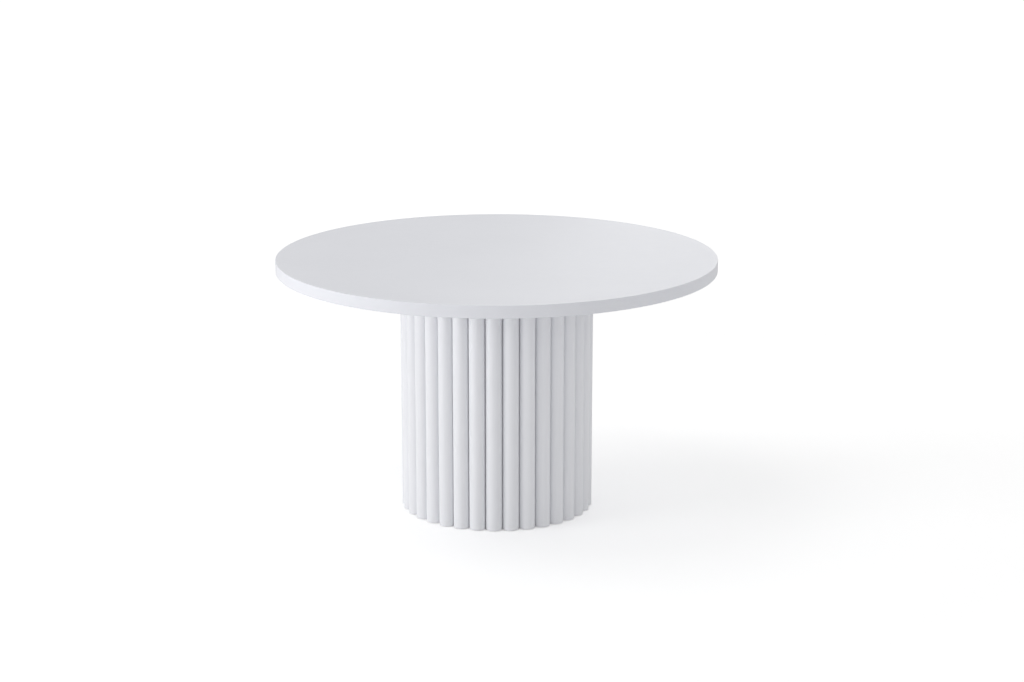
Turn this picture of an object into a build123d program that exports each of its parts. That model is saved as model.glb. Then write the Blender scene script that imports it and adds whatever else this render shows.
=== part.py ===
from build123d import *

import math
import os

# Round pedestal table: a lacquered disc top on a drum that is clad with half-round slats.
# Millimetres, +Z up, -Y to the front, origin on the floor under the middle of the top.
#
# The drum is built on a frame: a base ring and a middle ring, a top plate, and posts between
# them. Two half-cylinder shells close the frame. The slats are screwed to the shells from behind,
# the shells to the posts from inside the drum, and the top is bolted on from inside as well, so
# no fixing shows from outside. The openings of the two rings are the way in for the hand.

# Overall sizes
TABLE_HEIGHT = 760.0
TOP_DIAMETER = 1300.0
TOP_THICKNESS = 36.0
TOP_ARRIS = 2.0  # radius of the eased edges of the top

# Slats: half-rounds with flat backs
SLAT_COUNT = 34
SLAT_WIDTH = 48.0
SLAT_GAP = 0.6  # between the back corners of neighbours
FOOT_GAP = 1.5  # from the floor to the lower ends of the slats and shells

# Shells: bent plywood half-cylinders
SHELL_THICKNESS = 8.0
SEAM_GAP = 1.0  # between the edges of the two shells

# Frame
RING_THICKNESS = 18.0  # the base ring and the middle ring
RING_BAND = 74.0  # from a ring's outer edge to its opening
PLATE_THICKNESS = 18.0
POST_DEPTH = 40.0  # radially, at the middle of the post
POST_SCREW_EDGE = 16.0  # from a shell screw at a seam to the side of its post
POST_CHAMFER = 3.0
POSTS_PER_SHELL = 2  # besides the two posts behind the seams
PAD_DIAMETER = 36.0
PAD_THICKNESS = 4.0

# Screws that hold the slats to the shells
SLAT_SCREW_DIAMETER = 4.0
SLAT_SCREW_HEAD = 8.0
SLAT_SCREW_BITE = 16.0  # into the slat
SLAT_SCREW_INSET = 50.0  # from the ends of the slat

# Screws that hold the shells and slats to the posts
SHELL_SCREW_DIAMETER = 5.0
SHELL_SCREW_HEAD = 10.0
SHELL_SCREW_BITE = 15.0  # into the slat
SHELL_SCREW_INSET = 90.0  # from the ring or plate at each end of a bay

# Screws of the frame: along the posts at both ends, and from the middle ring into the posts
FRAME_SCREW_DIAMETER = 6.0
FRAME_SCREW_HEAD = 12.0
FRAME_SCREW_BITE = 60.0  # into the end of a post
FRAME_SCREW_EDGE = 12.0  # from the side of a post
RING_SCREW_DIAMETER = 5.0
RING_SCREW_HEAD = 10.0
RING_SCREW_BITE = 26.0  # into the side of a post

# Bolts that hold the top
BOLT_COUNT = 8
BOLT_INSET = 20.0  # from the edge of the ring openings to the bolt circle
BOLT_DIAMETER = 8.0
BOLT_LENGTH = 35.0
BOLT_HEAD_DIAMETER = 13.0
BOLT_HEAD_HEIGHT = 8.0
WASHER_DIAMETER = 24.0
WASHER_THICKNESS = 2.0
INSERT_DIAMETER = 12.0
INSERT_LENGTH = 18.0
INSERT_FLANGE_DIAMETER = 16.0
INSERT_FLANGE_THICKNESS = 1.5

# Clearances
GLUE_LINE = 0.1  # slat to shell
SHELL_CLEARANCE = 0.2  # shell to rings, plate and posts
NOTCH_CLEARANCE = 0.3  # post to the notches of the middle ring
THREAD_CLEARANCE = 0.1  # on radius, round a screw, a bolt or an insert in its own hole
HEAD_CLEARANCE = 0.2  # on radius, round a countersunk head
SHANK_CLEARANCE = 0.5  # on radius, where a screw or bolt only passes through
TIP_CLEARANCE = 1.0  # beyond the end of a screw, a bolt or an insert

COUNTERSINK_ANGLE = 90.0
SOCKET_SHARE = 0.45  # width of a screw's drive socket, as a share of its head
SOCKET_DEPTH_SHARE = 0.25  # its depth, as a share of the same

# Heights
underside = TABLE_HEIGHT - TOP_THICKNESS
plate_bottom = underside - PLATE_THICKNESS
base_ring_top = PAD_THICKNESS + RING_THICKNESS
middle_ring_bottom = (base_ring_top + plate_bottom - RING_THICKNESS) / 2
middle_ring_top = middle_ring_bottom + RING_THICKNESS
slat_length = underside - FOOT_GAP

# Radii. The slats' flat backs stand on the shells, and neighbours nearly meet at their corners.
pitch = 360.0 / SLAT_COUNT
half_pitch = math.radians(pitch / 2)
back_radius = (SLAT_GAP + SLAT_WIDTH * math.cos(half_pitch)) / (2 * math.sin(half_pitch))
shell_outer = back_radius - GLUE_LINE
shell_inner = shell_outer - SHELL_THICKNESS
frame_radius = shell_inner - SHELL_CLEARANCE
opening_radius = frame_radius - RING_BAND
bolt_radius = opening_radius - BOLT_INSET
post_inner = frame_radius - POST_DEPTH

# A seam post takes two rows of shell screws, one into each slat beside the seam.
seam_screw_offset = back_radius * math.sin(half_pitch)
post_width = 2 * (seam_screw_offset + POST_SCREW_EDGE)
frame_screw_offset = post_width / 2 - FRAME_SCREW_EDGE

# Lengths of the screws, from the face that their heads lie in
slat_screw_length = SHELL_THICKNESS + GLUE_LINE + SLAT_SCREW_BITE
shell_screw_length = POST_DEPTH + SHELL_CLEARANCE + SHELL_THICKNESS + GLUE_LINE + SHELL_SCREW_BITE
base_screw_length = RING_THICKNESS + FRAME_SCREW_BITE
plate_screw_length = PLATE_THICKNESS + FRAME_SCREW_BITE
ring_screw_length = RING_BAND - POST_DEPTH + RING_SCREW_BITE

# The first shell starts at +X and runs anticlockwise. Each shell carries whole slats.
shell_slats = [math.ceil(SLAT_COUNT / 2), SLAT_COUNT // 2]
shell_starts = [0, shell_slats[0]]
shell_names = ["rear_shell", "front_shell"]


def slat_angle(index):
    """The direction of a slat's middle, in degrees from +X."""
    return (index + 0.5) * pitch


def outward(angle):
    """The unit vector from the axis along a direction."""
    return Vector(math.cos(math.radians(angle)), math.sin(math.radians(angle)), 0)


def radial_plane(angle, height):
    """A horizontal sketch plane on the axis, its local X pointing along a direction."""
    return Plane(origin=(0, 0, height), x_dir=outward(angle), z_dir=(0, 0, 1))


def driven_out(angle, radius, height, offset=0.0):
    """The place of a screw that is driven away from the axis: on its driving face, Z to its head."""
    direction = outward(angle)
    side = Vector(-direction.Y, direction.X, 0)
    origin = direction * radius + side * offset + Vector(0, 0, height)
    return Plane(origin=origin, x_dir=(0, 0, 1), z_dir=-direction)


def driven_down(angle, radius, height, offset=0.0):
    """The place of a screw that is driven down, Z to its head."""
    direction = outward(angle)
    side = Vector(-direction.Y, direction.X, 0)
    origin = direction * radius + side * offset + Vector(0, 0, height)
    return Plane(origin=origin, x_dir=direction, z_dir=(0, 0, 1))


def driven_up(angle, radius, height, offset=0.0):
    """The place of a screw or bolt that is driven up, Z to its head."""
    down = driven_down(angle, radius, height, offset)
    return Plane(origin=down.origin, x_dir=down.x_dir, z_dir=(0, 0, -1))


def countersunk_screw(diameter, head_diameter, length):
    """A screw with the face of its head at the origin and its tip at -Z. It has no thread."""
    head_depth = (head_diameter - diameter) / 2
    with BuildPart() as screw:
        with BuildSketch(Plane.XZ):
            with BuildLine():
                Polyline(
                    (0, 0),
                    (head_diameter / 2, 0),
                    (diameter / 2, -head_depth),
                    (diameter / 2, diameter - length),
                    (0, -length),
                    close=True,
                )
            make_face()
        revolve(axis=Axis.Z)
        with BuildSketch():
            RegularPolygon(head_diameter * SOCKET_SHARE / 2, 6, major_radius=False)
        extrude(amount=-head_diameter * SOCKET_DEPTH_SHARE, mode=Mode.SUBTRACT)
    return screw.part


def post_angles():
    """The direction of each post: one behind each seam, the others behind the middle of a slat."""
    angles = []
    for start, count in zip(shell_starts, shell_slats):
        angles.append(start * pitch)
        for step in range(1, POSTS_PER_SHELL + 1):
            slats_on = round(step * count / (POSTS_PER_SHELL + 1) - 0.5)
            angles.append(slat_angle(start + slats_on))
    return angles


def screw_offsets(angle):
    """How far each row of shell screws lies to the side of the middle of the post there."""
    is_seam = any(math.isclose(angle, start * pitch) for start in shell_starts)
    return [-seam_screw_offset, seam_screw_offset] if is_seam else [0.0]


# Places of the fixings, each on the face that the head lies in
slat_screw_heights = [
    FOOT_GAP + SLAT_SCREW_INSET,
    FOOT_GAP + slat_length / 2,
    underside - SLAT_SCREW_INSET,
]
shell_screw_heights = [
    base_ring_top + SHELL_SCREW_INSET,
    middle_ring_bottom - SHELL_SCREW_INSET,
    middle_ring_top + SHELL_SCREW_INSET,
    plate_bottom - SHELL_SCREW_INSET,
]
slat_screw_places = [
    driven_out(slat_angle(index), shell_inner, height)
    for index in range(SLAT_COUNT)
    for height in slat_screw_heights
]
shell_screw_places = [
    driven_out(angle, post_inner, height, offset)
    for angle in post_angles()
    for offset in screw_offsets(angle)
    for height in shell_screw_heights
]
plate_screw_places = [
    driven_down(angle, frame_radius - POST_DEPTH / 2, underside, offset)
    for angle in post_angles()
    for offset in (-frame_screw_offset, frame_screw_offset)
]
base_screw_places = [
    driven_up(angle, frame_radius - POST_DEPTH / 2, PAD_THICKNESS, offset)
    for angle in post_angles()
    for offset in (-frame_screw_offset, frame_screw_offset)
]
ring_screw_places = [
    driven_out(angle, opening_radius, middle_ring_bottom + RING_THICKNESS / 2)
    for angle in post_angles()
]
bolt_angles = [(index + 0.5) * 360.0 / BOLT_COUNT for index in range(BOLT_COUNT)]
bolt_places = [driven_up(angle, bolt_radius, plate_bottom) for angle in bolt_angles]
insert_places = [driven_up(angle, bolt_radius, underside) for angle in bolt_angles]

os.makedirs("parts", exist_ok=True)

# Top: a disc with eased edges and a blind hole for each threaded insert
with BuildPart() as tabletop:
    with BuildSketch(Plane.XY.offset(underside)):
        Circle(TOP_DIAMETER / 2)
    extrude(amount=TOP_THICKNESS)
    fillet(tabletop.edges().filter_by(GeomType.CIRCLE), TOP_ARRIS)
    with Locations(*insert_places):
        CounterBoreHole(
            radius=INSERT_DIAMETER / 2 + THREAD_CLEARANCE,
            counter_bore_radius=INSERT_FLANGE_DIAMETER / 2 + THREAD_CLEARANCE,
            counter_bore_depth=INSERT_FLANGE_THICKNESS,
            depth=INSERT_LENGTH + TIP_CLEARANCE,
        )
tabletop.part.label = "tabletop"
export_step(tabletop.part, "parts/tabletop.step")

# Threaded inserts, flanges flush with the underside of the top
with BuildPart() as threaded_inserts:
    for place in insert_places:
        with BuildSketch(place):
            Circle(INSERT_FLANGE_DIAMETER / 2)
        extrude(amount=-INSERT_FLANGE_THICKNESS)
        with BuildSketch(place):
            Circle(INSERT_DIAMETER / 2)
        extrude(amount=-INSERT_LENGTH)
    with Locations(*insert_places):
        Hole(BOLT_DIAMETER / 2 + THREAD_CLEARANCE, depth=INSERT_LENGTH)
threaded_inserts.part.label = "threaded_inserts"
export_step(threaded_inserts.part, "parts/threaded_inserts.step")

# Top plate: the upper end of the frame, against the underside of the top
with BuildPart() as top_plate:
    with BuildSketch(Plane.XY.offset(plate_bottom)):
        Circle(frame_radius)
    extrude(amount=PLATE_THICKNESS)
    with Locations(*bolt_places):
        Hole(BOLT_DIAMETER / 2 + SHANK_CLEARANCE, depth=PLATE_THICKNESS)
    with Locations(*plate_screw_places):
        CounterSinkHole(
            radius=FRAME_SCREW_DIAMETER / 2 + THREAD_CLEARANCE,
            counter_sink_radius=FRAME_SCREW_HEAD / 2 + HEAD_CLEARANCE,
            depth=PLATE_THICKNESS + TIP_CLEARANCE,
            counter_sink_angle=COUNTERSINK_ANGLE,
        )
top_plate.part.label = "top_plate"
export_step(top_plate.part, "parts/top_plate.step")

# Base ring: the lower end of the frame, on its pads
with BuildPart() as base_ring:
    with BuildSketch(Plane.XY.offset(PAD_THICKNESS)):
        Circle(frame_radius)
        Circle(opening_radius, mode=Mode.SUBTRACT)
    extrude(amount=RING_THICKNESS)
    with Locations(*base_screw_places):
        CounterSinkHole(
            radius=FRAME_SCREW_DIAMETER / 2 + THREAD_CLEARANCE,
            counter_sink_radius=FRAME_SCREW_HEAD / 2 + HEAD_CLEARANCE,
            depth=RING_THICKNESS + TIP_CLEARANCE,
            counter_sink_angle=COUNTERSINK_ANGLE,
        )
base_ring.part.label = "base_ring"
export_step(base_ring.part, "parts/base_ring.step")

# Middle ring: notched round the posts, and screwed to each from its opening
with BuildPart() as middle_ring:
    with BuildSketch(Plane.XY.offset(middle_ring_bottom)):
        Circle(frame_radius)
        Circle(opening_radius, mode=Mode.SUBTRACT)
        for angle in post_angles():
            notch_floor = outward(angle) * (post_inner - NOTCH_CLEARANCE)
            with Locations(Location(notch_floor, (0, 0, angle))):
                Rectangle(
                    2 * POST_DEPTH,
                    post_width + 2 * NOTCH_CLEARANCE,
                    align=(Align.MIN, Align.CENTER),
                    mode=Mode.SUBTRACT,
                )
    extrude(amount=RING_THICKNESS)
    with Locations(*ring_screw_places):
        CounterSinkHole(
            radius=RING_SCREW_DIAMETER / 2 + THREAD_CLEARANCE,
            counter_sink_radius=RING_SCREW_HEAD / 2 + HEAD_CLEARANCE,
            depth=RING_BAND,
            counter_sink_angle=COUNTERSINK_ANGLE,
        )
middle_ring.part.label = "middle_ring"
export_step(middle_ring.part, "parts/middle_ring.step")

# Posts: outer faces rounded to the shells, inner corners chamfered
for number, angle in enumerate(post_angles(), start=1):
    with BuildPart() as post:
        with BuildSketch(radial_plane(angle, base_ring_top)):
            with Locations((post_inner, 0)):
                Rectangle(POST_DEPTH, post_width, align=(Align.MIN, Align.CENTER))
            Circle(frame_radius, mode=Mode.INTERSECT)
        extrude(amount=plate_bottom - base_ring_top)
        upright = post.edges().filter_by(Axis.Z)
        inner_corners = upright.sort_by(lambda edge: math.hypot(edge.center().X, edge.center().Y))[:2]
        chamfer(inner_corners, POST_CHAMFER)
        with Locations(*shell_screw_places):
            CounterSinkHole(
                radius=SHELL_SCREW_DIAMETER / 2 + THREAD_CLEARANCE,
                counter_sink_radius=SHELL_SCREW_HEAD / 2 + HEAD_CLEARANCE,
                depth=POST_DEPTH + TIP_CLEARANCE,
                counter_sink_angle=COUNTERSINK_ANGLE,
            )
        with Locations(*plate_screw_places):
            Hole(
                FRAME_SCREW_DIAMETER / 2 + THREAD_CLEARANCE,
                depth=plate_screw_length + TIP_CLEARANCE,
            )
        with Locations(*base_screw_places):
            Hole(
                FRAME_SCREW_DIAMETER / 2 + THREAD_CLEARANCE,
                depth=base_screw_length + TIP_CLEARANCE,
            )
        with Locations(*ring_screw_places):
            Hole(
                RING_SCREW_DIAMETER / 2 + THREAD_CLEARANCE,
                depth=ring_screw_length + TIP_CLEARANCE,
            )
    post.part.label = f"post_{number}"
    export_step(post.part, f"parts/post_{number}.step")

# Shells: each a half-cylinder that ends at the middle of a gap between two slats
for name, start, count in zip(shell_names, shell_starts, shell_slats):
    seam_angle = math.degrees(SEAM_GAP / 2 / shell_outer)
    with BuildPart() as shell:
        with BuildSketch(Plane.XY.offset(FOOT_GAP)):
            with BuildLine():
                arc_start = start * pitch + seam_angle
                arc_size = count * pitch - 2 * seam_angle
                outer = CenterArc((0, 0), shell_outer, arc_start, arc_size)
                inner = CenterArc((0, 0), shell_inner, arc_start, arc_size)
                Line(outer @ 0, inner @ 0)
                Line(outer @ 1, inner @ 1)
            make_face()
        extrude(amount=slat_length)
        with Locations(*slat_screw_places):
            CounterSinkHole(
                radius=SLAT_SCREW_DIAMETER / 2 + THREAD_CLEARANCE,
                counter_sink_radius=SLAT_SCREW_HEAD / 2 + HEAD_CLEARANCE,
                depth=SHELL_THICKNESS + TIP_CLEARANCE,
                counter_sink_angle=COUNTERSINK_ANGLE,
            )
        with Locations(*shell_screw_places):
            Hole(SHELL_SCREW_DIAMETER / 2 + SHANK_CLEARANCE, depth=shell_screw_length)
    shell.part.label = name
    export_step(shell.part, f"parts/{name}.step")

# Slats: half-rounds, with pilot holes in their backs
for index in range(SLAT_COUNT):
    with BuildPart() as slat:
        with BuildSketch(radial_plane(slat_angle(index), FOOT_GAP)):
            with BuildLine():
                face = CenterArc((back_radius, 0), SLAT_WIDTH / 2, -90, 180)
                Line(face @ 0, face @ 1)
            make_face()
        extrude(amount=slat_length)
        with Locations(*slat_screw_places):
            Hole(
                SLAT_SCREW_DIAMETER / 2 + THREAD_CLEARANCE,
                depth=slat_screw_length + TIP_CLEARANCE,
            )
        with Locations(*shell_screw_places):
            Hole(
                SHELL_SCREW_DIAMETER / 2 + THREAD_CLEARANCE,
                depth=shell_screw_length + TIP_CLEARANCE,
            )
    slat.part.label = f"slat_{index + 1:02d}"
    export_step(slat.part, f"parts/slat_{index + 1:02d}.step")

# Screws
screw_sets = [
    (
        "slat_screws",
        countersunk_screw(SLAT_SCREW_DIAMETER, SLAT_SCREW_HEAD, slat_screw_length),
        slat_screw_places,
    ),
    (
        "shell_screws",
        countersunk_screw(SHELL_SCREW_DIAMETER, SHELL_SCREW_HEAD, shell_screw_length),
        shell_screw_places,
    ),
    (
        "plate_screws",
        countersunk_screw(FRAME_SCREW_DIAMETER, FRAME_SCREW_HEAD, plate_screw_length),
        plate_screw_places,
    ),
    (
        "base_screws",
        countersunk_screw(FRAME_SCREW_DIAMETER, FRAME_SCREW_HEAD, base_screw_length),
        base_screw_places,
    ),
    (
        "ring_screws",
        countersunk_screw(RING_SCREW_DIAMETER, RING_SCREW_HEAD, ring_screw_length),
        ring_screw_places,
    ),
]
for name, screw, places in screw_sets:
    with BuildPart() as screws:
        with Locations(*places):
            add(screw)
    screws.part.label = name
    export_step(screws.part, f"parts/{name}.step")

# Washers and socket-head bolts, driven up through the top plate into the inserts
with BuildPart() as washers:
    for place in bolt_places:
        with BuildSketch(place):
            Circle(WASHER_DIAMETER / 2)
            Circle(BOLT_DIAMETER / 2 + SHANK_CLEARANCE, mode=Mode.SUBTRACT)
        extrude(amount=WASHER_THICKNESS)
washers.part.label = "washers"
export_step(washers.part, "parts/washers.step")

with BuildPart() as top_bolts:
    for place in bolt_places:
        seat = place.offset(WASHER_THICKNESS)
        with BuildSketch(seat):
            Circle(BOLT_HEAD_DIAMETER / 2)
        extrude(amount=BOLT_HEAD_HEIGHT)
        with BuildSketch(seat):
            Circle(BOLT_DIAMETER / 2)
        extrude(amount=-BOLT_LENGTH)
        with BuildSketch(seat.offset(BOLT_HEAD_HEIGHT)):
            RegularPolygon(BOLT_HEAD_DIAMETER * SOCKET_SHARE / 2, 6, major_radius=False)
        extrude(amount=-BOLT_HEAD_HEIGHT / 2, mode=Mode.SUBTRACT)
top_bolts.part.label = "top_bolts"
export_step(top_bolts.part, "parts/top_bolts.step")

# Felt pads under the base ring, one below each post
with BuildPart() as felt_pads:
    for angle in post_angles():
        with BuildSketch(radial_plane(angle, 0)):
            with Locations((frame_radius - POST_DEPTH / 2, 0)):
                Circle(PAD_DIAMETER / 2)
        extrude(amount=PAD_THICKNESS)
felt_pads.part.label = "felt_pads"
export_step(felt_pads.part, "parts/felt_pads.step")
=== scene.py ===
"""Round pedestal table: a lacquered disc top on a drum clad with upright half-round slats."""

import math

import bpy
from bpy.props import FloatProperty, FloatVectorProperty, IntProperty, PointerProperty
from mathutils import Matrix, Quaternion, Vector


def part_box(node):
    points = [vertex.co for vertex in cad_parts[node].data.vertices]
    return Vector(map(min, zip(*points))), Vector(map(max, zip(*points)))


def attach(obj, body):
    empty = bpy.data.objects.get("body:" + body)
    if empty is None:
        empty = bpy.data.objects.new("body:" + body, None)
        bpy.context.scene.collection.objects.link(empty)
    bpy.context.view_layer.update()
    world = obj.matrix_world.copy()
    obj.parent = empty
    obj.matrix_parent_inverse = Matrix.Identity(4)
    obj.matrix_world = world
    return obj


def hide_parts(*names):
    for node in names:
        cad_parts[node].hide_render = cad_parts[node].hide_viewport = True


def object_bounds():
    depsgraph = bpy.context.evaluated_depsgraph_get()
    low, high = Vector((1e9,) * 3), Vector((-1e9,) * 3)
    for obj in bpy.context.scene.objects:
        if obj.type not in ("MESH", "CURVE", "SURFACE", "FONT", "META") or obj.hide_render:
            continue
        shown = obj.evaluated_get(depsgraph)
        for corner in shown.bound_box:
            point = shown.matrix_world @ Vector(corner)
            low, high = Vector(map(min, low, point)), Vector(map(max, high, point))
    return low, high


bl_info = {
    "name": "Round Pedestal Table",
    "version": (1, 0, 0),
    "blender": (4, 5, 0),
    "location": "3D View > Sidebar > Table",
    "description": "Builds the top, the slats and the finishes of a round pedestal table",
    "category": "Add Mesh",
}

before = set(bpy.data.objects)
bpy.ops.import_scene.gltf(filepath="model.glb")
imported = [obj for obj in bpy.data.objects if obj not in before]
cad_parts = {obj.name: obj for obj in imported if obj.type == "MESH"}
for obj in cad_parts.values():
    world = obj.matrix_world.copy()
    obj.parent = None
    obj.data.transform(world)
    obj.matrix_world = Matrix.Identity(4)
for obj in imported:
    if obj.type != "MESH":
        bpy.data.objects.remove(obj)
cad_low, cad_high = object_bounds()

MM = 0.001

# Sizes and places that the frame already holds. slat_26 faces straight to the front, so its box
# gives a slat's own width and how far its back stands from the axis.
top_low, top_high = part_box("tabletop")
slat_low, slat_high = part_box("slat_26")
shell_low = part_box("front_shell")[0]
insert_low, insert_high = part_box("threaded_inserts")
slat_nodes = sorted(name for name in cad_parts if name[:5] == "slat_" and name[5:].isdigit())

SLAT_BACK_RADIUS = -slat_high.y
SHELL_RADIUS = -shell_low.y
SLAT_SEED = 7
PLY_THICKNESS = 1.6 * MM
WORN_RIM_WIDTH = 14 * MM

# The threaded inserts stand on a circle, the first half a step from the X axis.
INSERTS = 8
FLANGE_RADIUS = 8 * MM
FLANGE_THICKNESS = 1.5 * MM
INSERT_RADIUS = 6 * MM
INSERT_CLEARANCE = 0.1 * MM
TIP_CLEARANCE = 1 * MM
INSERT_CIRCLE = (insert_high.x - FLANGE_RADIUS) / math.cos(math.pi / INSERTS)
INSERT_LENGTH = insert_high.z - insert_low.z
BORE_EDGE = 0.2 * MM
BORE_CORNERS = 48

# The studio, in metres. The key light is a wide box low on the left, a second hangs overhead, and a
# white card behind the table on the right leans on one corner.
FLOOR_RADIUS = 80.0
FLOOR_CORNERS = 128
FLOOR_GLOW_SPAN = (1.5, 5.0)
AIM_HEIGHT = cad_high.z / 2
KEY_PLACE = Vector((-7.2, -2.6, 1.7))
KEY_SIZE = (4.0, 1.8)
OVERHEAD_PLACE = Vector((-2.0, -0.65, 5.2))
OVERHEAD_SIZE = (3.0, 3.0)
CARD_PLACE = Vector((0.78, 1.9, 1.82))
CARD_FACING = Vector((0.0, -1.0, -0.1))
CARD_SIZE = (1.8, 1.8)
CARD_LEAN = math.radians(45)


# Helpers for node trees


def add_node(tree, kind, inputs=None, **settings):
    """A node with its settings. Each input takes a value, or the output socket that feeds it."""
    made = tree.nodes.new(kind)
    for name, value in settings.items():
        setattr(made, name, value)
    for key, value in (inputs or {}).items():
        if isinstance(value, bpy.types.NodeSocket):
            tree.links.new(value, made.inputs[key])
        else:
            made.inputs[key].default_value = value
    return made


def math_node(tree, operation, first, second=0.0):
    """The result of a sum on one or two numbers."""
    return add_node(tree, "ShaderNodeMath", {0: first, 1: second}, operation=operation).outputs[0]


def remap(tree, value, span, target):
    """The value taken from one span to another, and held at its ends."""
    inputs = {
        "Value": value,
        "From Min": span[0],
        "From Max": span[1],
        "To Min": target[0],
        "To Max": target[1],
    }
    return add_node(tree, "ShaderNodeMapRange", inputs).outputs["Result"]


def mix_numbers(tree, factor, first, second):
    """The first number where the factor is 0, and the second where it is 1."""
    inputs = {0: factor, 2: first, 3: second}
    return add_node(tree, "ShaderNodeMix", inputs, data_type="FLOAT").outputs[0]


def mix_colours(tree, factor, first, second):
    """The first colour where the factor is 0, and the second where it is 1."""
    inputs = {0: factor, 6: first, 7: second}
    return add_node(tree, "ShaderNodeMix", inputs, data_type="RGBA").outputs[2]


def weighted(tree, first, first_weight, second, second_weight):
    """The sum of two numbers, each times its weight."""
    return math_node(
        tree,
        "ADD",
        math_node(tree, "MULTIPLY", first, first_weight),
        math_node(tree, "MULTIPLY", second, second_weight),
    )


# Helpers for finishes


def new_finish(name):
    """A material with an empty tree, and its Principled shader."""
    material = bpy.data.materials.new(name)
    material.use_nodes = True
    tree = material.node_tree
    tree.nodes.clear()
    shader = add_node(tree, "ShaderNodeBsdfPrincipled")
    output = add_node(tree, "ShaderNodeOutputMaterial")
    tree.links.new(shader.outputs["BSDF"], output.inputs["Surface"])
    return material, tree, shader


def object_place(tree, scale=(1.0, 1.0, 1.0)):
    """The place on the piece, in metres, stretched by a scale."""
    place = add_node(tree, "ShaderNodeTexCoord").outputs["Object"]
    return add_node(tree, "ShaderNodeMapping", {"Vector": place, "Scale": scale}).outputs["Vector"]


def noise(tree, place, scale, detail=2.0):
    """Noise of a number of cells to the metre."""
    inputs = {"Vector": place, "Scale": scale, "Detail": detail}
    return add_node(tree, "ShaderNodeTexNoise", inputs).outputs["Fac"]


def axis_distance(tree, place):
    """The distance from the upright axis of the table, in metres."""
    flat = add_node(tree, "ShaderNodeVectorMath", {0: place, 1: (1.0, 1.0, 0.0)}, operation="MULTIPLY")
    return add_node(tree, "ShaderNodeVectorMath", {0: flat.outputs[0]}, operation="LENGTH").outputs["Value"]


def ramp(tree, value, stops):
    """The colour that a value takes on a ramp of (position, colour) stops."""
    made = add_node(tree, "ShaderNodeValToRGB", {"Fac": value})
    elements = made.color_ramp.elements
    while len(elements) < len(stops):
        elements.new(1.0)
    for element, (position, colour) in zip(elements, stops):
        element.position = position
        element.color = (*colour[:3], 1.0)
    return made.outputs["Color"]


def shade(colour, factor):
    """A colour made darker or lighter by a factor."""
    return tuple(min(1.0, part * factor) for part in colour[:3])


def bump(tree, shader, height, depth, strength=1.0):
    """Relief of a depth in metres, on the shader's normal."""
    made = add_node(tree, "ShaderNodeBump", {"Height": height, "Distance": depth, "Strength": strength})
    tree.links.new(made.outputs["Normal"], shader.inputs["Normal"])


def finish_nodes(names, material):
    """Gives CAD nodes their material."""
    for name in names:
        for material_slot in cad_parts[name].material_slots:
            material_slot.material = material


# Finishes


def top_lacquer(colour, roughness):
    """Satin lacquer sprayed on board: faint clouds in its tone, orange peel, and a rim rubbed smoother."""
    material, tree, shader = new_finish("top_lacquer")
    place = object_place(tree)
    clouds = noise(tree, place, 2.6, 3.0)
    peel = noise(tree, place, 420.0)
    rub = noise(tree, place, 34.0, 4.0)
    tone = ramp(tree, clouds, [(0.3, shade(colour, 0.985)), (0.7, shade(colour, 1.01))])
    tree.links.new(tone, shader.inputs["Base Color"])
    worn = (top_high.x - WORN_RIM_WIDTH, top_high.x)
    rim = remap(tree, axis_distance(tree, place), worn, (0.0, 0.05))
    patchy = remap(tree, rub, (0.3, 0.7), (roughness - 0.025, roughness + 0.025))
    tree.links.new(math_node(tree, "SUBTRACT", patchy, rim), shader.inputs["Roughness"])
    bump(tree, shader, peel, 0.02 * MM, 0.35)
    return material


def slat_lacquer(colour, roughness):
    """Satin lacquer on moulded slats: each slat has its own tone, grain shows faintly under the paint, the
    crests are rubbed a little smoother, and the grooves hold a duller coat and are painted darker, as
    painted shade."""
    material, tree, shader = new_finish("slat_lacquer")
    place = object_place(tree)
    along = object_place(tree, (1.0, 1.0, 0.05))
    grain = noise(tree, along, 260.0, 4.0)
    peel = noise(tree, place, 420.0)
    rub = noise(tree, place, 40.0, 4.0)
    own_tone = add_node(tree, "ShaderNodeAttribute", attribute_name="slat_tone").outputs["Fac"]
    crest = add_node(tree, "ShaderNodeAttribute", attribute_name="crest").outputs["Fac"]
    # Painted shade: the paint is darker towards the grooves between the slats, where the crest mark is low.
    groove_painted_shade = remap(tree, crest, (0.0, 0.35), (-0.35, 0.0))
    tone = math_node(tree, "ADD", math_node(tree, "MULTIPLY", own_tone, 0.6), groove_painted_shade)
    tone = math_node(tree, "ADD", tone, remap(tree, grain, (0.35, 0.65), (0.0, 0.4)))
    paint = ramp(tree, tone, [(0.0, shade(colour, 0.975)), (1.0, shade(colour, 1.015))])
    tree.links.new(paint, shader.inputs["Base Color"])
    patchy = remap(tree, rub, (0.3, 0.7), (roughness - 0.03, roughness + 0.03))
    smoother = remap(tree, crest, (0.6, 1.0), (0.03, -0.02))
    tree.links.new(math_node(tree, "ADD", patchy, smoother), shader.inputs["Roughness"])
    bump(tree, shader, weighted(tree, grain, 0.8, peel, 0.4), 0.03 * MM, 0.4)
    return material


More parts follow.
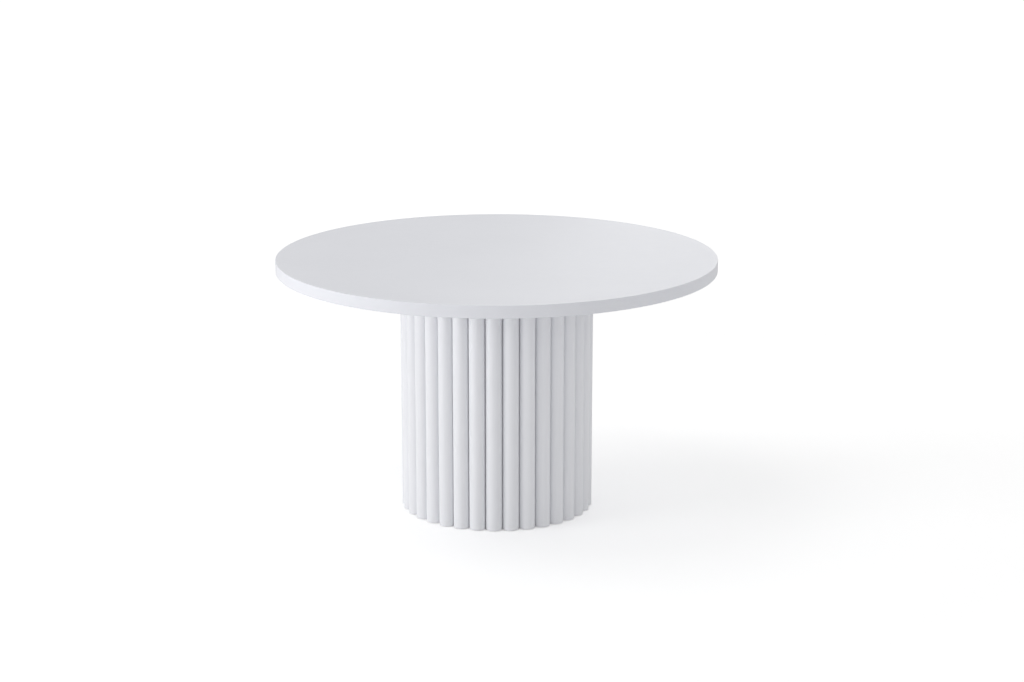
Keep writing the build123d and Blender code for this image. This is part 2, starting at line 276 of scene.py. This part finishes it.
def bending_plywood(colour, paint):
    """Raw bending plywood with upright grain and five plies at its edges. Lacquer from the spraying
    of the slats covers its outer face."""
    material, tree, shader = new_finish("bending_plywood")
    place = object_place(tree)
    along = object_place(tree, (1.0, 1.0, 0.04))
    grain = noise(tree, along, 240.0, 5.0)
    broad = noise(tree, along, 30.0, 2.0)
    radius = axis_distance(tree, place)
    ply = math_node(tree, "FRACT", math_node(tree, "DIVIDE", radius, 2 * PLY_THICKNESS))
    glue = math_node(tree, "GREATER_THAN", ply, 0.5)
    figure = weighted(tree, grain, 0.7, broad, 0.45)
    figure = math_node(tree, "SUBTRACT", figure, math_node(tree, "MULTIPLY", glue, 0.12))
    wood = ramp(tree, figure, [(0.3, shade(colour, 0.62)), (0.55, colour), (0.8, shade(colour, 1.16))])
    sprayed = remap(tree, radius, (SHELL_RADIUS - 0.5 * MM, SHELL_RADIUS - 0.2 * MM), (0.0, 1.0))
    finish = mix_colours(tree, sprayed, wood, (*paint[:3], 1.0))
    tree.links.new(finish, shader.inputs["Base Color"])
    dull = remap(tree, grain, (0.3, 0.7), (0.62, 0.78))
    smooth = math_node(tree, "MULTIPLY", sprayed, 0.3)
    tree.links.new(math_node(tree, "SUBTRACT", dull, smooth), shader.inputs["Roughness"])
    bump(tree, shader, grain, 0.12 * MM, 0.5)
    return material


def raw_board(colour):
    """Raw MDF: fine pressed fibre, with darker flecks and broad clouds."""
    material, tree, shader = new_finish("mdf")
    place = object_place(tree)
    fibre = noise(tree, place, 1100.0, 2.0)
    fleck = noise(tree, place, 320.0, 5.0)
    clouds = noise(tree, place, 9.0, 2.0)
    mottle = weighted(tree, fleck, 0.6, clouds, 0.4)
    tone = ramp(tree, mottle, [(0.32, shade(colour, 0.78)), (0.5, colour), (0.7, shade(colour, 1.12))])
    tree.links.new(tone, shader.inputs["Base Color"])
    tree.links.new(remap(tree, fleck, (0.3, 0.7), (0.74, 0.9)), shader.inputs["Roughness"])
    bump(tree, shader, fibre, 0.05 * MM, 0.5)
    return material


def softwood(colour):
    """Planed softwood with upright growth rings, pale early wood and darker late wood."""
    material, tree, shader = new_finish("softwood")
    along = object_place(tree, (1.0, 1.0, 0.07))
    rings = add_node(
        tree,
        "ShaderNodeTexWave",
        {"Vector": along, "Scale": 42.0, "Distortion": 2.6, "Detail": 2.0, "Detail Scale": 1.6},
        wave_type="RINGS",
        rings_direction="Z",
        wave_profile="SAW",
    )
    fibre = noise(tree, object_place(tree, (1.0, 1.0, 0.02)), 700.0, 3.0)
    late = math_node(tree, "POWER", rings.outputs["Fac"], 2.4)
    figure = math_node(tree, "ADD", late, remap(tree, fibre, (0.3, 0.7), (-0.12, 0.12)))
    wood = ramp(tree, figure, [(0.0, shade(colour, 1.1)), (0.5, colour), (1.0, shade(colour, 0.66))])
    tree.links.new(wood, shader.inputs["Base Color"])
    tree.links.new(remap(tree, figure, (0.0, 1.0), (0.66, 0.5)), shader.inputs["Roughness"])
    bump(tree, shader, fibre, 0.06 * MM, 0.5)
    return material


def plated_metal(name, colour, second, roughness):
    """Plated or plain metal: two tones in soft patches, and fine marks in its polish."""
    material, tree, shader = new_finish(name)
    place = object_place(tree)
    patches = noise(tree, place, 160.0, 3.0)
    marks = noise(tree, object_place(tree, (1.0, 1.0, 0.15)), 1800.0, 2.0)
    tone = ramp(tree, patches, [(0.35, colour[:3]), (0.65, second[:3])])
    tree.links.new(tone, shader.inputs["Base Color"])
    polish = remap(tree, marks, (0.3, 0.7), (roughness - 0.08, roughness + 0.08))
    tree.links.new(polish, shader.inputs["Roughness"])
    shader.inputs["Metallic"].default_value = 1.0
    bump(tree, shader, marks, 0.01 * MM, 0.4)
    return material


def pressed_felt(colour):
    """Pressed wool felt: matted fibres in mixed greys, with a soft sheen."""
    material, tree, shader = new_finish("felt")
    place = object_place(tree)
    fibre = noise(tree, place, 1500.0, 4.0)
    tufts = noise(tree, place, 260.0, 3.0)
    mixed = weighted(tree, fibre, 0.6, tufts, 0.4)
    tone = ramp(tree, mixed, [(0.35, shade(colour, 0.6)), (0.65, shade(colour, 1.25))])
    tree.links.new(tone, shader.inputs["Base Color"])
    tree.links.new(remap(tree, tufts, (0.3, 0.7), (0.88, 1.0)), shader.inputs["Roughness"])
    shader.inputs["Sheen Weight"].default_value = 0.4
    bump(tree, shader, mixed, 0.4 * MM, 0.7)
    return material


def studio_floor(colour, glow, far_glow):
    """A plain pale studio floor with a faint unevenness, which shows white without lighting the
    underside of the table, and whiter far away."""
    material, tree, shader = new_finish("studio_floor")
    place = object_place(tree)
    clouds = noise(tree, place, 0.7, 2.0)
    tone = ramp(tree, clouds, [(0.3, shade(colour, 0.995)), (0.7, shade(colour, 1.005))])
    tree.links.new(tone, shader.inputs["Base Color"])
    tree.links.new(remap(tree, clouds, (0.3, 0.7), (0.7, 0.8)), shader.inputs["Roughness"])
    shader.inputs["Specular IOR Level"].default_value = 0.2
    shader.inputs["Emission Color"].default_value = (1.0, 1.0, 1.0, 1.0)
    spread = remap(tree, axis_distance(tree, place), FLOOR_GLOW_SPAN, (glow, far_glow))
    seen = add_node(tree, "ShaderNodeLightPath").outputs["Is Camera Ray"]
    tree.links.new(math_node(tree, "MULTIPLY", spread, seen), shader.inputs["Emission Strength"])
    return material


# Helpers for shapes


def new_group(name, sockets):
    """A geometry node group with named inputs, and its input and output nodes."""
    tree = bpy.data.node_groups.new(name, "GeometryNodeTree")
    tree.interface.new_socket("Geometry", in_out="OUTPUT", socket_type="NodeSocketGeometry")
    for label, kind in sockets:
        tree.interface.new_socket(label, in_out="INPUT", socket_type=kind)
    return tree, tree.nodes.new("NodeGroupInput").outputs


def end_group(tree, geometry, material):
    """Ends a group in Realize Instances and Set Material."""
    realized = add_node(tree, "GeometryNodeRealizeInstances", {"Geometry": geometry})
    inputs = {"Geometry": realized.outputs["Geometry"], "Material": material}
    painted = add_node(tree, "GeometryNodeSetMaterial", inputs)
    output = tree.nodes.new("NodeGroupOutput")
    tree.links.new(painted.outputs["Geometry"], output.inputs["Geometry"])


def ring_of(tree, shape, count, radius, height=0.0):
    """Copies of a shape on a circle, each turned outwards, the first half a step from the X axis."""
    index = add_node(tree, "GeometryNodeInputIndex").outputs["Index"]
    step = math_node(tree, "DIVIDE", math.tau, count)
    angle = math_node(tree, "MULTIPLY", math_node(tree, "ADD", index, 0.5), step)
    spot = add_node(
        tree,
        "ShaderNodeCombineXYZ",
        {
            "X": math_node(tree, "MULTIPLY", math_node(tree, "COSINE", angle), radius),
            "Y": math_node(tree, "MULTIPLY", math_node(tree, "SINE", angle), radius),
            "Z": height,
        },
    )
    points = add_node(tree, "GeometryNodePoints", {"Count": count, "Position": spot.outputs["Vector"]})
    turn = add_node(tree, "ShaderNodeCombineXYZ", {"Z": angle}).outputs["Vector"]
    ring = add_node(
        tree,
        "GeometryNodeInstanceOnPoints",
        {"Points": points.outputs["Geometry"], "Instance": shape, "Rotation": turn},
    )
    return ring.outputs["Instances"]


def grow(name, tree, values, eased_edge, edge_steps):
    """The plain mesh object that a group gives for its named values, with its sharp edges eased."""
    piece = bpy.data.objects.new(name, bpy.data.meshes.new(name))
    bpy.context.scene.collection.objects.link(piece)
    modifier = piece.modifiers.new("shape", "NODES")
    modifier.node_group = tree
    for item in tree.interface.items_tree:
        if item.item_type == "SOCKET" and item.in_out == "INPUT":
            modifier[item.identifier] = values[item.name]
    eased = piece.modifiers.new("eased edges", "BEVEL")
    eased.width = eased_edge
    eased.segments = edge_steps
    eased.limit_method = "ANGLE"
    eased.angle_limit = math.radians(50)
    smooth = piece.modifiers.new("even shading", "WEIGHTED_NORMAL")
    smooth.weight = 100
    depsgraph = bpy.context.evaluated_depsgraph_get()
    made = bpy.data.meshes.new_from_object(piece.evaluated_get(depsgraph), depsgraph=depsgraph)
    piece.modifiers.clear()
    piece.data = made
    made.name = name
    if not made.polygons:
        raise RuntimeError(f"{name} came out empty")
    # Realized instances leave an empty material slot before the finish.
    if made.materials[0] is None:
        made.materials.pop(index=0)
    return piece


# Sizes and colours that a user would change


class TopSettings(bpy.types.PropertyGroup):
    diameter: FloatProperty(
        name="Diameter",
        description="Across the round top",
        default=2 * top_high.x,
        unit="LENGTH",
    )
    thickness: FloatProperty(
        name="Thickness",
        description="From the underside to the upper face",
        default=top_high.z - top_low.z,
        unit="LENGTH",
    )
    arris: FloatProperty(
        name="Eased edge",
        description="Radius of the rounded edges",
        default=2 * MM,
        unit="LENGTH",
    )
    segments: IntProperty(
        name="Segments",
        description="Flats round the rim",
        default=288,
    )
    # Painted shade: this default is darker than the slats' lacquer, though the top wears the same white
    # paint, because the studio lights the top more strongly.
    colour: FloatVectorProperty(
        name="Lacquer",
        description="Colour of the top's satin lacquer",
        default=(0.785, 0.795, 0.84),
        subtype="COLOR",
    )
    roughness: FloatProperty(
        name="Roughness",
        description="Dullness of the top's lacquer",
        default=0.36,
        subtype="FACTOR",
    )


class SlatSettings(bpy.types.PropertyGroup):
    count: IntProperty(
        name="Slats",
        description="Half-round slats round the drum",
        default=len(slat_nodes),
    )
    width: FloatProperty(
        name="Width",
        description="Across the flat back of a slat",
        default=slat_high.x - slat_low.x,
        unit="LENGTH",
    )
    eased_edge: FloatProperty(
        name="Eased edge",
        description="Width of a slat's eased edges",
        default=0.6 * MM,
        unit="LENGTH",
    )
    arc_steps: IntProperty(
        name="Arc steps",
        description="Points along the half-round",
        default=41,
    )
    colour: FloatVectorProperty(
        name="Lacquer",
        description="Colour of the slats' satin lacquer",
        default=(0.838, 0.844, 0.873),
        subtype="COLOR",
    )
    roughness: FloatProperty(
        name="Roughness",
        description="Dullness of the slats' lacquer",
        default=0.42,
        subtype="FACTOR",
    )


class JoinerySettings(bpy.types.PropertyGroup):
    plywood: FloatVectorProperty(
        name="Plywood",
        description="Colour of the shells",
        default=(0.5, 0.32, 0.17),
        subtype="COLOR",
    )
    board: FloatVectorProperty(
        name="MDF",
        description="Colour of the rings and the plate",
        default=(0.33, 0.2, 0.11),
        subtype="COLOR",
    )
    softwood: FloatVectorProperty(
        name="Softwood",
        description="Colour of the posts",
        default=(0.58, 0.37, 0.16),
        subtype="COLOR",
    )


class HardwareSettings(bpy.types.PropertyGroup):
    screw: FloatVectorProperty(
        name="Screws",
        description="Colour of the yellow zinc on the wood screws",
        default=(0.62, 0.47, 0.2),
        subtype="COLOR",
    )
    bolt: FloatVectorProperty(
        name="Bolts",
        description="Colour of the bright zinc on the bolts and washers",
        default=(0.6, 0.62, 0.65),
        subtype="COLOR",
    )
    insert: FloatVectorProperty(
        name="Inserts",
        description="Colour of the brass inserts",
        default=(0.66, 0.45, 0.17),
        subtype="COLOR",
    )
    felt: FloatVectorProperty(
        name="Felt",
        description="Colour of the felt pads",
        default=(0.24, 0.23, 0.22),
        subtype="COLOR",
    )


class StudioSettings(bpy.types.PropertyGroup):
    floor_colour: FloatVectorProperty(
        name="Floor",
        description="Colour of the studio floor",
        default=(0.93, 0.93, 0.93),
        subtype="COLOR",
    )
    floor_glow: FloatProperty(
        name="Floor glow",
        description="How much whiter than its own light the floor shows to the camera",
        default=0.29,
    )
    far_glow: FloatProperty(
        name="Far floor glow",
        description="The same, well away from the table",
        default=0.5,
    )
    room_left: FloatProperty(
        name="Room, left",
        description="Brightness of the room around and to the left of the table",
        default=0.85,
    )
    room_right: FloatProperty(
        name="Room, right",
        description="Brightness of the room to the right of the table",
        default=0.98,
    )
    ceiling: FloatProperty(
        name="Ceiling",
        description="Brightness of the room overhead",
        default=0.54,
    )
    key_brightness: FloatProperty(
        name="Key light",
        description="Brightness of the large soft box on the left",
        default=8.8,
    )
    overhead_brightness: FloatProperty(
        name="Overhead light",
        description="Brightness of the soft box overhead",
        default=1.5,
    )
    card_brightness: FloatProperty(
        name="Card",
        description="Brightness of the white card behind the table on the right",
        default=0.6,
    )
    lens: FloatProperty(
        name="Lens",
        description="Focal length of the camera in millimetres",
        default=76.8,
    )
    camera_distance: FloatProperty(
        name="Distance",
        description="From the table's axis to the camera, over the floor",
        default=6.305,
        unit="LENGTH",
    )
    camera_height: FloatProperty(
        name="Height",
        description="Height of the camera over the floor",
        default=2.088,
        unit="LENGTH",
    )
    camera_round: FloatProperty(
        name="Round the table",
        description="How far the camera stands to the right of the front",
        default=math.radians(1.92),
        subtype="ANGLE",
    )
    camera_tilt: FloatProperty(
        name="Tilt",
        description="How far the camera looks down",
        default=math.radians(14.14),
        subtype="ANGLE",
    )
    camera_turn: FloatProperty(
        name="Turn",
        description="How far the camera looks past the table's axis",
        default=math.radians(-0.41),
        subtype="ANGLE",
    )


# The top


def bored(tree, mesh, underside, radius, depth):
    """The mesh with a blind hole bored up from its underside at each threaded insert."""
    sizes = {"Vertices": BORE_CORNERS, "Radius": radius, "Depth": 2 * depth}
    drill = add_node(tree, "GeometryNodeMeshCylinder", sizes)
    drills = ring_of(tree, drill.outputs["Mesh"], INSERTS, INSERT_CIRCLE, underside)
    cut = add_node(
        tree,
        "GeometryNodeMeshBoolean",
        {"Mesh 1": mesh, "Mesh 2": drills},
        operation="DIFFERENCE",
        solver="EXACT",
    )
    return cut.outputs["Mesh"]


def disc_group(material):
    """A section with rounded corners, turned about the upright axis, closed at its poles, and bored
    for the threaded inserts."""
    tree, inputs = new_group(
        "turned_disc",
        [
            ("Radius", "NodeSocketFloat"),
            ("Underside", "NodeSocketFloat"),
            ("Thickness", "NodeSocketFloat"),
            ("Eased Edge", "NodeSocketFloat"),
            ("Segments", "NodeSocketInt"),
        ],
    )
    radius, underside, thickness, arris, segments = list(inputs)[:5]
    half = math_node(tree, "MULTIPLY", radius, 0.5)
    inner = math_node(tree, "MULTIPLY", half, -1.0)
    upper = math_node(tree, "ADD", underside, thickness)

    def corner(across, height):
        down = math_node(tree, "MULTIPLY", height, -1.0)
        return add_node(tree, "ShaderNodeCombineXYZ", {"X": across, "Y": down}).outputs["Vector"]

    corners = {
        "Point 1": corner(inner, underside),
        "Point 2": corner(half, underside),
        "Point 3": corner(half, upper),
        "Point 4": corner(inner, upper),
    }
    section = add_node(tree, "GeometryNodeCurvePrimitiveQuadrilateral", corners, mode="POINTS")
    opened = add_node(
        tree, "GeometryNodeSetSplineCyclic", {"Geometry": section.outputs["Curve"], "Cyclic": False}
    )
    rounded = add_node(
        tree,
        "GeometryNodeFilletCurve",
        {"Curve": opened.outputs["Geometry"], "Radius": arris, "Count": 5},
        mode="POLY",
    )
    circle = add_node(tree, "GeometryNodeCurvePrimitiveCircle", {"Resolution": segments, "Radius": half})
    turned = add_node(
        tree,
        "GeometryNodeCurveToMesh",
        {"Curve": circle.outputs["Curve"], "Profile Curve": rounded.outputs["Curve"]},
    )
    closed = add_node(
        tree, "GeometryNodeMergeByDistance", {"Geometry": turned.outputs["Mesh"], "Distance": 0.01 * MM}
    )
    outward = add_node(tree, "GeometryNodeFlipFaces", {"Mesh": closed.outputs["Geometry"]}).outputs["Mesh"]
    flange_seats = bored(tree, outward, underside, FLANGE_RADIUS + INSERT_CLEARANCE, FLANGE_THICKNESS)
    body_bores = bored(
        tree, flange_seats, underside, INSERT_RADIUS + INSERT_CLEARANCE, INSERT_LENGTH + TIP_CLEARANCE
    )
    smooth = add_node(tree, "GeometryNodeSetShadeSmooth", {"Geometry": body_bores})
    end_group(tree, smooth.outputs["Geometry"], material)
    return tree


class TABLE_OT_top(bpy.types.Operator):
    """Turns the round top and lacquers it"""

    bl_idname = "table.top"
    bl_label = "Top"

    def execute(self, context):
        settings = context.scene.table_top
        material = top_lacquer(settings.colour, settings.roughness)
        values = {
            "Radius": settings.diameter / 2,
            "Underside": top_low.z,
            "Thickness": settings.thickness,
            "Eased Edge": settings.arris,
            "Segments": settings.segments,
        }
        piece = grow("table_top", disc_group(material), values, BORE_EDGE, 1)
        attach(piece, "root")
        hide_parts("tabletop")
        return {"FINISHED"}


# The slats


def slat_group(material):
    """Half-round slats on a circle, each with its own tone and with its height over the back marked."""
    tree, inputs = new_group(
        "slat_ring",
        [
            ("Slats", "NodeSocketInt"),
            ("Back Radius", "NodeSocketFloat"),
            ("Width", "NodeSocketFloat"),
            ("Foot", "NodeSocketFloat"),
            ("Head", "NodeSocketFloat"),
            ("Arc Steps", "NodeSocketInt"),
            ("Seed", "NodeSocketInt"),
        ],
    )
    slats, back_radius, width, foot, head, arc_steps, seed = list(inputs)[:7]
    half_width = math_node(tree, "MULTIPLY", width, 0.5)
    arc = add_node(
        tree,
        "GeometryNodeCurveArc",
        {
            "Resolution": arc_steps,
            "Radius": half_width,
            "Start Angle": -math.pi / 2,
            "Sweep Angle": math.pi,
        },
        mode="RADIUS",
    )
    section = add_node(
        tree, "GeometryNodeSetSplineCyclic", {"Geometry": arc.outputs["Curve"], "Cyclic": True}
    )
    low = add_node(tree, "ShaderNodeCombineXYZ", {"Z": foot}).outputs["Vector"]
    high = add_node(tree, "ShaderNodeCombineXYZ", {"Z": head}).outputs["Vector"]
    upright = add_node(tree, "GeometryNodeCurvePrimitiveLine", {"Start": low, "End": high})
    slat = add_node(
        tree,
        "GeometryNodeCurveToMesh",
        {
            "Curve": upright.outputs["Curve"],
            "Profile Curve": section.outputs["Geometry"],
            "Fill Caps": True,
        },
    )
    place = add_node(tree, "GeometryNodeInputPosition").outputs["Position"]
    outward = add_node(tree, "ShaderNodeSeparateXYZ", {"Vector": place}).outputs["X"]
    marked = add_node(
        tree,
        "GeometryNodeStoreNamedAttribute",
        {
            "Geometry": slat.outputs["Mesh"],
            "Name": "crest",
            "Value": math_node(tree, "DIVIDE", outward, half_width),
        },
        data_type="FLOAT",
        domain="POINT",
    )
    ring = ring_of(tree, marked.outputs["Geometry"], slats, back_radius)
    chance = add_node(tree, "FunctionNodeRandomValue", {"Seed": seed}, data_type="FLOAT")
    toned = add_node(
        tree,
        "GeometryNodeStoreNamedAttribute",
        {"Geometry": ring, "Name": "slat_tone", "Value": chance.outputs[1]},
        data_type="FLOAT",
        domain="INSTANCE",
    )
    smooth = add_node(tree, "GeometryNodeSetShadeSmooth", {"Geometry": toned.outputs["Geometry"]})
    end_group(tree, smooth.outputs["Geometry"], material)
    return tree


class TABLE_OT_slats(bpy.types.Operator):
    """Stands the half-round slats round the drum and lacquers them"""

    bl_idname = "table.slats"
    bl_label = "Slats"

    def execute(self, context):
        settings = context.scene.table_slats
        material = slat_lacquer(settings.colour, settings.roughness)
        values = {
            "Slats": settings.count,
            "Back Radius": SLAT_BACK_RADIUS,
            "Width": settings.width,
            "Foot": slat_low.z,
            "Head": slat_high.z,
            "Arc Steps": settings.arc_steps,
            "Seed": SLAT_SEED,
        }
        piece = grow("slat_ring", slat_group(material), values, settings.eased_edge, 2)
        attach(piece, "root")
        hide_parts(*slat_nodes)
        return {"FINISHED"}


# The joinery and the hardware inside the drum


class TABLE_OT_shells(bpy.types.Operator):
    """Gives the two bent shells their plywood"""

    bl_idname = "table.shells"
    bl_label = "Shells"

    def execute(self, context):
        material = bending_plywood(context.scene.table_joinery.plywood, context.scene.table_slats.colour)
        finish_nodes(["front_shell", "rear_shell"], material)
        return {"FINISHED"}


class TABLE_OT_boards(bpy.types.Operator):
    """Gives the two rings and the top plate their raw board"""

    bl_idname = "table.boards"
    bl_label = "Rings and plate"

    def execute(self, context):
        material = raw_board(context.scene.table_joinery.board)
        finish_nodes(["base_ring", "middle_ring", "top_plate"], material)
        return {"FINISHED"}


class TABLE_OT_posts(bpy.types.Operator):
    """Gives the posts their planed softwood"""

    bl_idname = "table.posts"
    bl_label = "Posts"

    def execute(self, context):
        posts = [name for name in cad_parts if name.startswith("post_")]
        finish_nodes(posts, softwood(context.scene.table_joinery.softwood))
        return {"FINISHED"}


class TABLE_OT_screws(bpy.types.Operator):
    """Gives the wood screws their yellow zinc"""

    bl_idname = "table.screws"
    bl_label = "Screws"

    def execute(self, context):
        colour = context.scene.table_hardware.screw
        material = plated_metal("screw_steel", colour, (colour[0] * 0.95, colour[1], colour[2] * 1.9), 0.34)
        screws = [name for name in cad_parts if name.endswith("_screws")]
        finish_nodes(screws, material)
        return {"FINISHED"}


class TABLE_OT_bolts(bpy.types.Operator):
    """Gives the bolts and washers their bright zinc and the inserts their brass"""

    bl_idname = "table.bolts"
    bl_label = "Bolts, washers and inserts"

    def execute(self, context):
        settings = context.scene.table_hardware
        zinc = plated_metal("zinc_steel", settings.bolt, shade(settings.bolt, 1.15), 0.36)
        brass = plated_metal("insert_brass", settings.insert, shade(settings.insert, 0.85), 0.3)
        finish_nodes(["top_bolts", "washers"], zinc)
        finish_nodes(["threaded_inserts"], brass)
        return {"FINISHED"}


class TABLE_OT_pads(bpy.types.Operator):
    """Gives the pads their felt"""

    bl_idname = "table.pads"
    bl_label = "Felt pads"

    def execute(self, context):
        finish_nodes(["felt_pads"], pressed_felt(context.scene.table_hardware.felt))
        return {"FINISHED"}


# The studio


def soft_light(name, place, target, size, brightness, roll=0.0):
    """A soft box that faces a target, hidden from the camera and rolled about its own axis."""
    light = bpy.data.lights.new(name, "AREA")
    light.shape = "RECTANGLE"
    light.size, light.size_y = size
    light.energy = brightness * math.pi * size[0] * size[1]
    holder = bpy.data.objects.new(name, light)
    holder.location = place
    aim = (target - place).to_track_quat("-Z", "Y")
    holder.rotation_euler = (aim @ Quaternion((0.0, 0.0, 1.0), roll)).to_euler()
    holder.visible_camera = False
    bpy.context.scene.collection.objects.link(holder)
    return holder


def studio_world(left, right, ceiling):
    """A white backdrop for the camera, and for the light a room that is brighter on the right."""
    world = bpy.data.worlds.new("studio")
    world.use_nodes = True
    tree = world.node_tree
    tree.nodes.clear()
    direction = add_node(tree, "ShaderNodeTexCoord").outputs["Generated"]
    parts = add_node(tree, "ShaderNodeSeparateXYZ", {"Vector": direction}).outputs
    walls = remap(tree, parts["X"], (0.0, 0.7), (left, right))
    high = remap(tree, parts["Z"], (0.1, 0.7), (0.0, 1.0))
    room = mix_numbers(tree, high, walls, ceiling)
    seen = add_node(tree, "ShaderNodeLightPath").outputs["Is Camera Ray"]
    strength = mix_numbers(tree, seen, room, 1.0)
    backdrop = add_node(tree, "ShaderNodeBackground", {"Strength": strength})
    backdrop.inputs["Color"].default_value = (1.0, 1.0, 1.0, 1.0)
    output = add_node(tree, "ShaderNodeOutputWorld")
    tree.links.new(backdrop.outputs["Background"], output.inputs["Surface"])
    return world


def floor_disc(radius, corners):
    """A flat disc on which the table stands."""
    angles = [math.tau * step / corners for step in range(corners)]
    rim = [(radius * math.cos(angle), radius * math.sin(angle), 0.0) for angle in angles]
    mesh = bpy.data.meshes.new("floor")
    mesh.from_pydata(rim, [], [tuple(range(corners))])
    floor = bpy.data.objects.new("floor", mesh)
    bpy.context.scene.collection.objects.link(floor)
    return floor


class TABLE_OT_studio(bpy.types.Operator):
    """Lays the floor, hangs the lights and sets up the camera"""

    bl_idname = "table.studio"
    bl_label = "Studio"

    def execute(self, context):
        settings = context.scene.table_studio
        floor = floor_disc(FLOOR_RADIUS, FLOOR_CORNERS)
        finish = studio_floor(settings.floor_colour, settings.floor_glow, settings.far_glow)
        floor.data.materials.append(finish)

        context.scene.world = studio_world(settings.room_left, settings.room_right, settings.ceiling)
        middle = Vector((0.0, 0.0, AIM_HEIGHT))
        key = soft_light("key_light", KEY_PLACE, middle, KEY_SIZE, settings.key_brightness)
        key.visible_glossy = False
        soft_light("overhead_light", OVERHEAD_PLACE, middle, OVERHEAD_SIZE, settings.overhead_brightness)
        card_target = CARD_PLACE + CARD_FACING
        soft_light("white_card", CARD_PLACE, card_target, CARD_SIZE, settings.card_brightness, CARD_LEAN)

        around = settings.camera_round
        camera = bpy.data.cameras.new("camera")
        camera.lens = settings.lens
        camera.clip_end = 2.5 * FLOOR_RADIUS
        holder = bpy.data.objects.new("camera", camera)
        reach = settings.camera_distance
        holder.location = (reach * math.sin(around), -reach * math.cos(around), settings.camera_height)
        holder.rotation_euler = (math.pi / 2 - settings.camera_tilt, 0.0, around + settings.camera_turn)
        context.scene.collection.objects.link(holder)
        context.scene.camera = holder
        context.scene.view_settings.view_transform = "Standard"
        return {"FINISHED"}


# The sidebar


STEPS = [
    "table.top",
    "table.slats",
    "table.shells",
    "table.boards",
    "table.posts",
    "table.screws",
    "table.bolts",
    "table.pads",
    "table.studio",
]


class VIEW3D_PT_table(bpy.types.Panel):
    bl_label = "Round Pedestal Table"
    bl_space_type = "VIEW_3D"
    bl_region_type = "UI"
    bl_category = "Table"

    def draw(self, context):
        for step in STEPS:
            self.layout.operator(step)


SETTINGS = {
    "table_top": TopSettings,
    "table_slats": SlatSettings,
    "table_joinery": JoinerySettings,
    "table_hardware": HardwareSettings,
    "table_studio": StudioSettings,
}
CLASSES = [
    *SETTINGS.values(),
    TABLE_OT_top,
    TABLE_OT_slats,
    TABLE_OT_shells,
    TABLE_OT_boards,
    TABLE_OT_posts,
    TABLE_OT_screws,
    TABLE_OT_bolts,
    TABLE_OT_pads,
    TABLE_OT_studio,
    VIEW3D_PT_table,
]


def register():
    for kept in CLASSES:
        bpy.utils.register_class(kept)
    for name, group in SETTINGS.items():
        setattr(bpy.types.Scene, name, PointerProperty(type=group))


def unregister():
    for name in SETTINGS:
        delattr(bpy.types.Scene, name)
    for kept in reversed(CLASSES):
        bpy.utils.unregister_class(kept)


def main():
    """Builds everything in order."""
    register()
    for step in STEPS:
        group, name = step.split(".")
        getattr(getattr(bpy.ops, group), name)()


if __name__ == "__main__":
    main()
